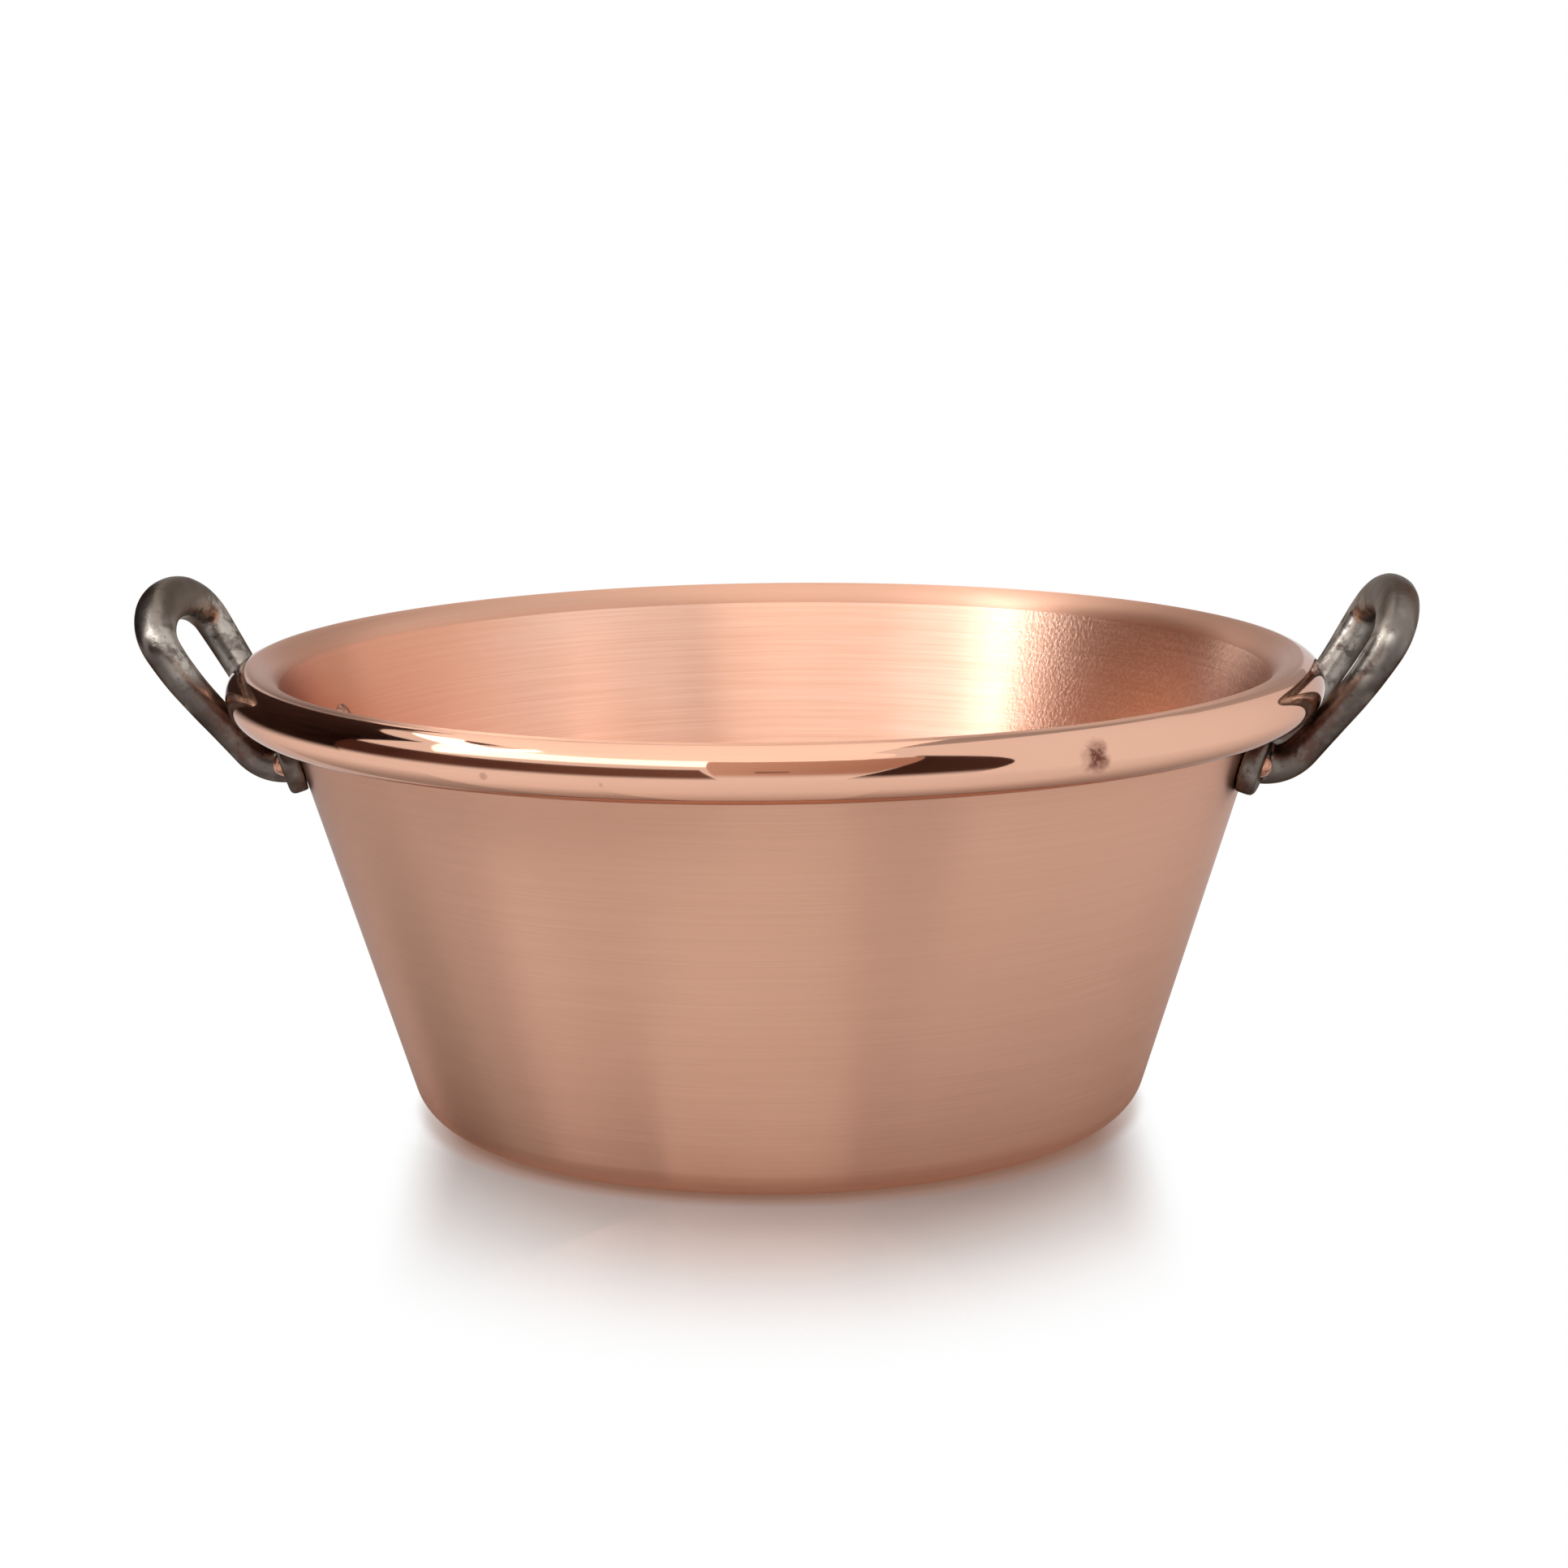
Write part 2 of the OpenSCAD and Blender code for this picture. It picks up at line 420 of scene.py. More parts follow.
@dataclass
class MeshParts:
    """Points and faces that a mesh is made from."""

    points: list[Triple] = field(default_factory=list)
    faces: list[tuple[int, ...]] = field(default_factory=list)
    slots: list[int] = field(default_factory=list)

    def add_lathe(self, profile: list[Pair], steps: int, slots: list[int] | None = None) -> None:
        """Turns a profile once round the Z axis.

        Args:
            profile: radius and height of each point. A radius of 0 is one point on the axis.
            steps: number of steps round.
            slots: material slot of each strip between two points, or None for the first.
        """
        rings: list[list[int]] = []
        for radius, height in profile:
            ring = []
            for k in range(steps if radius > 0 else 1):
                angle = math.tau * k / steps
                ring.append(len(self.points))
                self.points.append((radius * math.cos(angle), radius * math.sin(angle), height))
            rings.append(ring)
        for low, high, slot in zip(rings, rings[1:], slots or [0] * len(rings)):
            for k in range(steps):
                n = (k + 1) % steps
                if len(low) == 1:
                    face = (low[0], high[n], high[k])
                elif len(high) == 1:
                    face = (low[k], low[n], high[0])
                else:
                    face = (low[k], low[n], high[n], high[k])
                self.faces.append(face)
                self.slots.append(slot)

    def add_tube(self, rings: list[list[Vector]]) -> None:
        """Joins rings of points into a tube with flat ends.

        Args:
            rings: the rings, each with the same number of points.
        """
        first = len(self.points)
        count = len(rings[0])
        for ring in rings:
            self.points.extend(tuple(p) for p in ring)
        for i in range(len(rings) - 1):
            for k in range(count):
                a = first + i * count + k
                b = first + i * count + (k + 1) % count
                self.faces.append((a, b, b + count, a + count))
        last = first + (len(rings) - 1) * count
        self.faces.append(tuple(range(first + count - 1, first - 1, -1)))
        self.faces.append(tuple(range(last, last + count)))

    def build(self, name: str, materials: list[Material]) -> Object:
        """Makes an object that is shaded smooth but for its sharp edges.

        Args:
            name: name of the object.
            materials: its material slots, in order.

        Returns:
            The object, in the scene.
        """
        mesh = bpy.data.meshes.new(name)
        mesh.from_pydata(self.points, [], self.faces)
        work = bmesh.new()
        work.from_mesh(mesh)
        bmesh.ops.recalc_face_normals(work, faces=work.faces)
        work.to_mesh(mesh)
        work.free()
        for face, slot in zip(mesh.polygons, self.slots):
            face.material_index = slot
        mesh.shade_smooth()
        mesh.set_sharp_from_angle(angle=SHARP_ANGLE)
        for material in materials:
            mesh.materials.append(material)
        return put(name, mesh)


def arc(centre: Pair, radius: float, start: float, end: float, step: float) -> list[Pair]:
    """Points along an arc.

    Args:
        centre: middle of the arc.
        radius: its radius.
        start: angle of its first point, in degrees.
        end: angle of its last point.
        step: largest angle between points.

    Returns:
        The points, both ends included.
    """
    count = max(1, math.ceil(abs(end - start) / step))
    angles = [math.radians(start + (end - start) * i / count) for i in range(count + 1)]
    return [(centre[0] + radius * math.cos(a), centre[1] + radius * math.sin(a)) for a in angles]


def line(start: Pair, end: Pair, count: int) -> list[Pair]:
    """Evenly spaced points between two ends, neither of them included."""
    shares = [(i + 1) / (count + 1) for i in range(count)]
    return [(between(start[0], end[0], s), between(start[1], end[1], s)) for s in shares]


@dataclass(frozen=True)
class Stain:
    """A tarnished spot on the roll: where it is in degrees, its radius in metres and its strength."""

    turn: float
    rise: float
    radius: float
    strength: float

    def middle(self, sheet: SpunSheet) -> Triple:
        """The spot's middle, from its turn round the pan and its rise round the roll.

        Args:
            sheet: the pan's sizes.

        Returns:
            The point on the roll's surface.
        """
        turn = math.radians(self.turn)
        rise = math.radians(self.rise)
        radius = sheet.roll_x + sheet.roll_r * math.cos(rise)
        height = sheet.roll_z + sheet.roll_r * math.sin(rise)
        return radius * math.sin(turn), -radius * math.cos(turn), height


@dataclass(frozen=True)
class Streaks:
    """Brush marks along the turning: their stretch round the pan and across it, and their noise."""

    around: float
    across: float
    grain: Grain


@dataclass(frozen=True)
class CopperLook:
    """Finish of spun copper: brushed along its turning, and polished on the roll.

    A pair of numbers is where something begins and where it is full, and lengths are
    in metres.
    """

    name: str
    tint: Triple
    deep_tint: Triple
    brushed_rough: float
    polished_rough: float = 0.07
    varied_rough: float = 0.12
    edge_tint: Triple = (0.66, 0.62, 0.62)
    anisotropy: float = 0.95
    brush_turn: float = 0.25
    fine: Streaks = Streaks(2.6, 1000.0, Grain(1.0, 3.0, 0.6))
    wide: Streaks = Streaks(1.6, 260.0, Grain(1.0))
    wide_share: float = 0.25
    streak_tone: float = 1.3
    streak_depth: float = 0.000012
    cloud: Grain = Grain(14.0)
    mottle: float = 0.5
    wave: Grain = Grain(45.0, 2.0, 0.4)
    wave_height: float = 4.0
    polish_from: float = 77.0
    polish_edge: Pair = (-0.0008, 0.0008)
    polish_depth: Pair = (0.0012, 0.0001)
    grit: Grain = Grain(700.0, 2.0, 0.6)
    grit_reach: Pair = (0.06, 0.11)
    grit_tone: float = 4.0
    grit_height: float = 0.0
    # Painted shade: a deeper red towards the left side (-x), where less light falls.
    painted_side_shade: float = 0.0
    painted_side_shade_reach: Pair = (-0.09, -0.16)
    painted_side_shade_tint: Triple = (0.66, 0.27, 0.16)
    # Painted shade: a dark line in the crease where the curled edge meets the wall, under the roll.
    seam_shade: float = 0.0
    seam_shade_reach: Pair = (0.0030, 0.0012)
    seam_shade_tint: Triple = (0.07, 0.03, 0.022)
    tarnish_tint: Triple = (0.16, 0.055, 0.04)
    tarnish_core: float = 0.3
    ragged: Grain = Grain(260.0, 3.0, 0.6)
    ragged_size: float = 0.0045
    specks: Grain = Grain(620.0, 2.0, 0.6)
    specks_reach: Pair = (0.42, 0.6)
    specks_share: float = 0.25
    least_tarnish: float = 0.85

    def dress(self, sheet: SpunSheet, stains: tuple[Stain, ...]) -> Material:
        """Makes the material.

        Args:
            sheet: the pan's sizes, which place the polished band.
            stains: the tarnished spots.

        Returns:
            The material.
        """
        s = Shader.of_material(self.name)
        place = s.place()
        x, y, z = s.parts(place)
        rho = (x * x + y * y).root().greater(AXIS_CLEAR)
        fine, wide = (
            s.noise(s.vector(x / rho * kind.around, y / rho * kind.around, (z + rho) * kind.across),
                    kind.grain)
            for kind in (self.fine, self.wide))
        polished = self._polished(rho, z, sheet)
        brushed = 1.0 - polished
        streaks = ((fine - 0.5) + (wide - 0.5) * self.wide_share) * self.streak_tone * brushed
        depth = 0.5 + streaks + (s.noise(place, self.cloud) - 0.5) * self.mottle
        relief = fine * brushed + s.noise(place, self.wave) * polished * self.wave_height
        if self.grit_height > 0:
            grit = (s.noise(place, self.grit) - 0.5) * x.ease(*self.grit_reach) * brushed
            depth = depth + grit * self.grit_tone
            relief = relief + grit * self.grit_height
        colour = s.blend(depth.held(), self.deep_tint, self.tint)
        # Painted shade on the left side.
        if self.painted_side_shade > 0:
            colour = s.blend(x.ease(*self.painted_side_shade_reach) * self.painted_side_shade, colour, self.painted_side_shade_tint)
        # Painted shade along the crease under the roll.
        if self.seam_shade > 0:
            from_seam = ((rho - sheet.seam[0]) ** 2 + (z - sheet.seam[1]) ** 2).root()
            colour = s.blend(from_seam.ease(*self.seam_shade_reach) * self.seam_shade, colour, self.seam_shade_tint)
        stain = self._tarnish(s, place, [(spot.middle(sheet), spot) for spot in stains])
        colour = s.blend(stain, colour, self.tarnish_tint)
        rough = polished * self.polished_rough
        rough = rough + brushed * (self.brushed_rough + (fine - 0.5) * self.varied_rough)
        return s.close_metal(colour, rough + stain * self.varied_rough, relief, self.streak_depth, {
            "Specular Tint": s.filled(self.edge_tint),
            "Anisotropic": self.anisotropy,
            "Anisotropic Rotation": self.brush_turn,
        })

    def _polished(self, rho: Expr, z: Expr, sheet: SpunSheet) -> Expr:
        """Share of polish, which only the roll's outer part has.

        Args:
            rho: distance from the pan's axis.
            z: height.
            sheet: the pan's sizes.

        Returns:
            The share, from 0 to 1.
        """
        out = rho - sheet.roll_x
        up = z - sheet.roll_z
        turn = math.radians(self.polish_from - 90)
        depths = [sheet.roll_r + depth for depth in self.polish_depth]
        on_roll = (out ** 2 + up ** 2).root().ease(*depths)
        return on_roll * (out * math.cos(turn) + up * math.sin(turn)).ease(*self.polish_edge)

    def _tarnish(self, s: Shader, place: Expr, spots: list[tuple[Triple, Stain]]) -> Expr:
        """Share of tarnish at each place.

        Args:
            s: the shader.
            place: place on the object.
            spots: the tarnished spots with their middles.

        Returns:
            The share, from 0 to 1.
        """
        ragged = (s.noise(place, self.ragged) - 0.5) * self.ragged_size
        total: Value = 0.0
        for middle, spot in spots:
            near = (s.distance(place, middle) + ragged).ease(spot.radius, spot.radius * self.tarnish_core)
            total = near * spot.strength + total
        specks = s.noise(place, self.specks).ease(*self.specks_reach)
        return total * (self.least_tarnish + specks * self.specks_share)


@dataclass(frozen=True)
class LegTop:
    """Middle of a handle's leg where the arch begins: radius, height and slope of the sheet."""

    radius: float
    height: float
    slope: float

    def axes(self, s: Shader, place: Expr) -> tuple[Expr, Expr, Expr]:
        """Where each place is, measured from here.

        Args:
            s: the shader.
            place: place on the object.

        Returns:
            The way up out of the loop's sheet, the way along it, and the way aside from
            the handle's middle.
        """
        x, y, z = s.parts(place)
        out = x.size() - self.radius
        rise = z - self.height
        up = rise * math.cos(self.slope) - out * math.sin(self.slope)
        along = out * math.cos(self.slope) + rise * math.sin(self.slope)
        return up, along, y.size()


@dataclass(frozen=True)
class Patch:
    """A patch of a handle, by the stretches in metres over which it fades in and out."""

    up: tuple[Pair, ...] = ()
    along: tuple[Pair, ...] = ()
    aside: tuple[Pair, ...] = ()
    strength: float = 1.0

    def share(self, axes: tuple[Expr, Expr, Expr]) -> Expr:
        """How much each place is in the patch.

        Args:
            axes: the ways up, along and aside.

        Returns:
            The share, up to the patch's strength.
        """
        total: Value = self.strength
        for way, fades in zip(axes, (self.up, self.along, self.aside)):
            for fade in fades:
                total = way.ease(*fade) * total
        return total


@dataclass(frozen=True)
class IronLook:
    """Finish of the handles: dark bronzed cast iron rubbed where hands hold it, with painted highlights in
    patches like bare metal and painted shade on the legs' under sides.

    A pair of numbers is the noise at which something begins and at which it is full.
    """

    name: str = "cast_iron"
    tint: Triple = (0.146, 0.121, 0.107)
    brown: Triple = (0.078, 0.050, 0.040)
    rubbed: Triple = (0.25, 0.218, 0.195)
    # Colour of the painted highlights, like bare metal.
    painted_highlight: Triple = (0.46, 0.415, 0.37)
    rust: Triple = (0.11, 0.04, 0.026)
    # Colour of the painted shade on the legs' under sides.
    underside_shade: Triple = (0.045, 0.033, 0.028)
    edge_tint: Triple = (0.37, 0.335, 0.31)
    rough: float = 0.32
    grain_rough: float = 0.15
    cloud_rough: float = 0.12
    depth: float = 0.00009
    grain_height: float = 0.5
    pit_depth: float = 0.8
    lump_height: float = 1.5
    cloud: Grain = Grain(55.0, 3.0, 0.55)
    grain: Grain = Grain(900.0, 3.0, 0.6)
    pits: Grain = Grain(330.0)
    marks: Grain = Grain(120.0)
    lumps: Grain = Grain(160.0)
    patches: Grain = Grain(230.0, 3.0, 0.6)
    tint_reach: Pair = (0.28, 0.52)
    pit_reach: Pair = (0.62, 0.74)
    pit_share: float = 0.6
    mark_reach: Pair = (0.5, 0.75)
    underside_shade_reach: Pair = (0.85, 0.35)
    rust_reach: Pair = (0.70, 0.38)
    rust_share: float = 0.6
    painted_highlight_reach: Pair = (0.33, 0.56)
    # Painted highlights, in patches like bare metal: on the corners where the legs meet the arch, and more
    # faintly on the legs' inner sides.
    arch_corner_highlight: Patch = Patch(
        ((-0.0015, 0.002),), ((-0.017, -0.008), (0.011, 0.005)), ((0.049, 0.0445),))
    inner_leg_highlight: Patch = Patch(
        ((-0.004, 0.0),), ((-0.040, -0.026), (0.003, -0.004)), ((0.0375, 0.0345),), 0.6)
    beside_roll: Patch = Patch(((-0.001, 0.003),), ((-0.022, -0.032), (-0.055, -0.047)))
    under_arch: Patch = Patch(((0.004, 0.0),), ((0.0, 0.004),), ((0.03, 0.02),))
    # Painted shade on the legs' under sides.
    outer_side_shade: Patch = Patch(((0.0040, -0.0045),), ((0.010, -0.004),), (), 0.9)
    grip: Patch = Patch((), ((-0.014, 0.004),), (), 0.6)

    def dress(self, leg: LegTop) -> Material:
        """Makes the material.

        Args:
            leg: where the legs end and the arch begins, which places the wear.

        Returns:
            The material.
        """
        s = Shader.of_material(self.name)
        place = s.place()
        axes = leg.axes(s, place)
        cloud, grain, pits, marks, lumps, patchy = (s.noise(place, kind) for kind in (
            self.cloud, self.grain, self.pits, self.marks, self.lumps, self.patches))
        pitted = pits.ease(*self.pit_reach)
        # Share of painted highlight.
        painted_highlight_share = self.arch_corner_highlight.share(axes).greater(self.inner_leg_highlight.share(axes))
        rusty = self.beside_roll.share(axes).greater(self.under_arch.share(axes))
        colour = s.blend(cloud.ease(*self.tint_reach), self.brown, self.tint)
        layers = (
            (marks.ease(*self.mark_reach), self.rubbed),
            (pitted * self.pit_share, self.brown),
            (self.grip.share(axes), self.rubbed),
            # Painted shade on the legs' under sides.
            (self.outer_side_shade.share(axes) * cloud.ease(*self.underside_shade_reach), self.underside_shade),
            (rusty * patchy.ease(*self.rust_reach) * self.rust_share, self.rust),
            # Painted highlights, in patches like bare metal.
            (painted_highlight_share * patchy.ease(*self.painted_highlight_reach), self.painted_highlight),
        )
        for share, tint in layers:
            colour = s.blend(share, colour, tint)
        rough = self.rough + (grain - 0.5) * self.grain_rough + (cloud - 0.5) * self.cloud_rough
        relief = grain * self.grain_height - pitted * self.pit_depth + lumps * self.lump_height
        return s.close_metal(colour, rough, relief, self.depth, {"Specular Tint": s.filled(self.edge_tint)})


@dataclass(frozen=True)
class RivetLook:
    """Finish of the rivets: dull hammered copper."""

    name: str = "copper_rivet"
    tint: Triple = (0.62, 0.31, 0.21)
    dark: Triple = (0.20, 0.085, 0.055)
    cloud: Grain = Grain(500.0, 3.0, 0.6)
    cloud_reach: Pair = (0.3, 0.65)
    rough: float = 0.28
    varied_rough: float = 0.2
    depth: float = 0.0002

    def dress(self) -> Material:
        """Makes the material.

        Returns:
            The material.
        """
        s = Shader.of_material(self.name)
        cloud = s.noise(s.place(), self.cloud)
        colour = s.blend(cloud.ease(*self.cloud_reach), self.dark, self.tint)
        rough = self.rough + (cloud - 0.5) * self.varied_rough
        return s.close_metal(colour, rough, cloud, self.depth, {})


@dataclass
class PanBody:
    """The spun sheet: base, bend, wall and rolled rim."""

    sheet: SpunSheet
    steps: int = 360
    flat_steps: int = 10
    wall_steps: int = 24
    arc_step: float = 4
    hidden_arc_step: float = 8
    # The outside is given painted shade in the crease under the roll.
    outside: CopperLook = CopperLook(
        "copper_outside", (0.82, 0.49, 0.36), (0.73, 0.415, 0.29), 0.42, seam_shade=0.95)
    # The inside is given painted shade on its left side, a deeper red there.
    inside: CopperLook = CopperLook(
        "copper_inside", (0.97, 0.64, 0.50), (0.87, 0.51, 0.365), 0.32,
        grit_height=11.0, mottle=1.3, streak_tone=2.4, painted_side_shade=0.6)
    stains: tuple[Stain, ...] = (
        Stain(34.9, 18.0, 0.0048, 0.6),
        Stain(35.1, -6.0, 0.0054, 0.75),
        Stain(33.9, 4.0, 0.0050, 0.3),
        Stain(-24.0, -14.0, 0.0018, 0.35),
        Stain(-12.1, -16.0, 0.0016, 0.3),
    )

    def section(self) -> tuple[list[Pair], list[int]]:
        """The sheet's closed half section.

        Returns:
            Its points, and the material slot of each strip between them.
        """
        d = self.sheet
        roll = (d.roll_x, d.roll_z)
        bend = (d.bend_x, d.bend_r)
        curl_start = 180 - d.lean
        curl_end = d.curl_open - 180 - d.lean
        outer_bend = arc(bend, d.bend_r, -90, -d.lean, self.arc_step)
        curl_inside = arc(roll, d.roll_r - d.sheet_t, curl_start, curl_end, self.hidden_arc_step)
        curl_outside = arc(roll, d.roll_r, curl_end, curl_start, self.arc_step)
        inner_bend = arc(bend, d.bend_r - d.sheet_t, -d.lean, -90, self.arc_step)
        under = line((0, 0), outer_bend[0], self.flat_steps)
        outer_wall = line(outer_bend[-1], curl_inside[0], self.wall_steps)
        inner_wall = line(curl_outside[-1], inner_bend[0], self.wall_steps)
        floor = line(inner_bend[-1], (0, d.sheet_t), self.flat_steps)
        outer = [(0.0, 0.0), *under, *outer_bend, *outer_wall, *curl_inside, *curl_outside]
        inner = [*inner_wall, *inner_bend, *floor, (0.0, d.sheet_t)]
        slots = [Region.OUTSIDE.value] * (len(outer) - 1) + [Region.INSIDE.value] * len(inner)
        return outer + inner, slots

    def build(self) -> Object:
        """Makes the sheet and dresses it.

        Returns:
            The piece.
        """
        points, slots = self.section()
        parts = MeshParts()
        parts.add_lathe(points, self.steps, slots)
        looks = (self.outside, self.inside)
        piece = parts.build("spun_pan", [look.dress(self.sheet, self.stains) for look in looks])
        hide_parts("pan_body")
        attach(piece, BODY)
        return piece


@dataclass(frozen=True)
class RivetPlace:
    """Where the rivets of a handle go through its foot and the wall."""

    sheet: SpunSheet
    foot: FootSize

    @property
    def height(self) -> float:
        """Height of the rivets at the wall's outer face."""
        return self.sheet.roll_z - self.foot.rivet_drop

    @property
    def radius(self) -> float:
        """Radius of the wall there."""
        return self.sheet.wall_radius(self.height)

    @property
    def turn(self) -> float:
        """Angle of a rivet from the handle's middle, in radians."""
        return math.asin(self.foot.rivet_offset / self.radius)

    def matrix(self, end: float) -> Matrix:
        """Placement whose Z points squarely out of the wall.

        Args:
            end: 1 for the rivet on the +Y side of the right handle, and -1 for the other.

        Returns:
            The placement.
        """
        lean = Matrix.Rotation(math.radians(90 + self.sheet.lean), 4, "Y")
        out = Matrix.Translation((self.radius, 0, self.height))
        return Matrix.Rotation(end * self.turn, 4, "Z") @ out @ lean


@dataclass
class LoopHandle:
    """One iron casting: a foot with two ears, and a loop."""

    name: str
    node: str
    side: Side
    place: RivetPlace
    loop: LoopSize
    look: IronLook
    voxel: float = 0.0007
    soften_share: float = 0.5
    soften_rounds: int = 8
    lump_pitch: float = 90.0
    lump_height: float = 0.00012
    path_steps: int = 800
    bar_sides: int = 40
    leg_rings: int = 60
    arch_rings: int = 40
    foot_steps: int = 40
    ear_sides: int = 64

    def slope(self, way: float) -> float:
        """Slope of the loop's sheet.

        Args:
            way: way up the sheet.

        Returns:
            The slope there, in radians.
        """
        lean = math.radians(self.place.sheet.lean)
        tight = self.loop.bend_r * (math.radians(self.loop.slope) + lean)
        if way < tight:
            return way / self.loop.bend_r - lean
        return math.radians(self.loop.slope) + (way - tight) / self.loop.curve_r

    def sheet_path(self, length: float) -> list[Pair]:
        """Points up the loop's sheet at even steps, by adding short chords.

        Args:
            length: how far up the sheet the path goes.

        Returns:
            Radius and height of each point.
        """
        sheet = self.place.sheet
        height = self.place.height - self.loop.root_drop
        radius = sheet.wall_radius(height) + self.loop.root_depth / sheet.out[0]
        path = [(math.sqrt(radius ** 2 - self.loop.root_half_w ** 2), height)]
        step = length / self.path_steps
        for i in range(self.path_steps):
            slope = self.slope((i + 0.5) * step)
            path.append((path[-1][0] + step * math.cos(slope), path[-1][1] + step * math.sin(slope)))
        return path

    def leg_top(self) -> float:
        """Way up the sheet at which the arch begins."""
        turn = math.radians(self.loop.slope + self.place.sheet.lean)
        return self.loop.bend_r * turn + self.loop.leg_len

    def stations(self) -> list[Pair]:
        """Middle line of the loop.

        Returns:
            Distance from the handle's middle and way up the sheet of each point.
        """
        d = self.loop
        leg_top = self.leg_top()
        half = []
        for i in range(self.leg_rings):
            share = i / self.leg_rings
            spread = (1 - math.cos(math.pi * share ** d.late_spread)) / 2
            half.append((between(d.root_half_w, d.half_w, spread), leg_top * share))
        for i in range(self.arch_rings + 1):
            angle = math.pi / 2 * i / self.arch_rings
            half.append((d.half_w * math.cos(angle), leg_top + d.arch_rise * math.sin(angle)))
        return half + [(-across, way) for across, way in reversed(half[:-1])]

    def bar_rings(self) -> list[list[Vector]]:
        """Sections of the loop's bar.

        Returns:
            The points of each, in order along the bar.
        """
        d = self.loop
        leg_top = self.leg_top()
        top = leg_top + d.arch_rise
        path = self.sheet_path(top)
        stations = self.stations()
        middles = []
        for across, way in stations:
            at = min(way / top, 1.0) * (len(path) - 1)
            i = min(int(at), len(path) - 2)
            radius, height = (between(low, high, at - i) for low, high in zip(path[i], path[i + 1]))
            middles.append(Vector((radius, across, height)))
        rings = []
        for i, (_, way) in enumerate(stations):
            slope = self.slope(way)
            out = Vector((math.sin(slope), 0.0, -math.cos(slope)))
            along = middles[min(i + 1, len(middles) - 1)] - middles[max(i - 1, 0)]
            wide = out.cross(along.normalized())
            grip = (way / top) ** d.late_grip
            flare = d.flare * max(0.0, 1 - way / leg_top * d.flare_speed) ** 2
            half_w = (between(d.leg_w, d.grip_w, grip) + flare) / 2
            half_t = (between(d.leg_t, d.grip_t, grip) + flare) / 2
            ring = []
            for k in range(self.bar_sides):
                c, s = self.oval(math.tau * k / self.bar_sides)
                ring.append(middles[i] + wide * (half_w * c) + out * (half_t * s))
            rings.append(ring)
        return rings

    def oval(self, angle: float) -> Pair:
        """A point on the bar's flattened round section, from -1 to 1 each way."""
        power = 2 / self.loop.squareness
        return tuple(math.copysign(abs(v) ** power, v) for v in (math.cos(angle), math.sin(angle)))

    def foot_rings(self) -> list[list[Vector]]:
        """Sections of the foot's bar, which is bent round the wall.

        Returns:
            The points of each, in order along the bar.
        """
        d = self.place.foot
        deep = d.thick - d.ear_proud
        half = d.bar_h / 2
        r = d.edge_r
        outline = [(d.seat_gap, half), (d.seat_gap, -half)]
        outline += arc((deep - r, r - half), r, -90, 0, EDGE_STEP)
        outline += arc((deep - r, half - r), r, 0, 90, EDGE_STEP)
        to_wall = Matrix.Translation((self.place.radius, 0, self.place.height))
        lean = Matrix.Rotation(math.radians(self.place.sheet.lean), 4, "Y")
        rings = []
        for i in range(self.foot_steps + 1):
            turn = self.place.turn * (2 * i / self.foot_steps - 1)
            matrix = Matrix.Rotation(turn, 4, "Z") @ to_wall @ lean
            rings.append([matrix @ Vector((out, 0, up)) for out, up in outline])
        return rings

    def add_ear(self, parts: MeshParts, end: float) -> None:
        """Adds the round ear about a rivet, with its back bowed like the wall.

        Args:
            parts: what it is added to.
            end: which end of the foot it is at, 1 or -1.
        """
        d = self.place.foot
        profile = [(0.0, d.seat_gap), (d.ear_r / 2, d.seat_gap), (d.ear_r, d.seat_gap)]
        profile += arc((d.ear_r - d.edge_r, d.thick - d.edge_r), d.edge_r, 0, 90, EDGE_STEP)
        profile += [(d.ear_r / 2, d.thick), (0.0, d.thick)]
        first = len(parts.points)
        parts.add_lathe(profile, self.ear_sides)
        matrix = self.place.matrix(end)
        bow = self.place.sheet.out[0] / (2 * self.place.radius)
        for i, (x, y, z) in enumerate(parts.points[first:], first):
            sag = bow * y * y if z <= d.seat_gap else 0.0
            parts.points[i] = tuple(matrix @ Vector((x, y, z - sag)))

    def build(self) -> Object:
        """Makes the casting, runs its parts together with small fillets, and dresses it.

        Returns:
            The piece.
        """
        parts = MeshParts()
        parts.add_tube(self.bar_rings())
        parts.add_tube(self.foot_rings())
        for end in (-1.0, 1.0):
            self.add_ear(parts, end)
        piece = self.cast(parts.build(self.name + "_parts", []))
        radius, height = self.sheet_path(self.leg_top())[-1]
        leg = LegTop(radius, height, self.slope(self.leg_top()))
        piece.data.materials.append(self.look.dress(leg))
        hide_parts(self.node)
        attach(piece, BODY)
        return piece

    def cast(self, parts: Object) -> Object:
        """Merges the parts into one skin, as in a casting.

        Args:
            parts: the overlapping closed parts, which are removed.

        Returns:
            The casting.
        """
        remesh = parts.modifiers.new("skin", "REMESH")
        remesh.mode = "VOXEL"
        remesh.voxel_size = self.voxel
        soften = parts.modifiers.new("soften", "SMOOTH")
        soften.factor = self.soften_share
        soften.iterations = self.soften_rounds
        bpy.context.view_layer.update()
        graph = bpy.context.evaluated_depsgraph_get()
        mesh = bpy.data.meshes.new_from_object(parts.evaluated_get(graph))
        mesh.name = self.name
        bpy.data.objects.remove(parts)
        self.seat(mesh)
        mesh.transform(self.side.matrix)
        mesh.shade_smooth()
        return put(self.name, mesh)

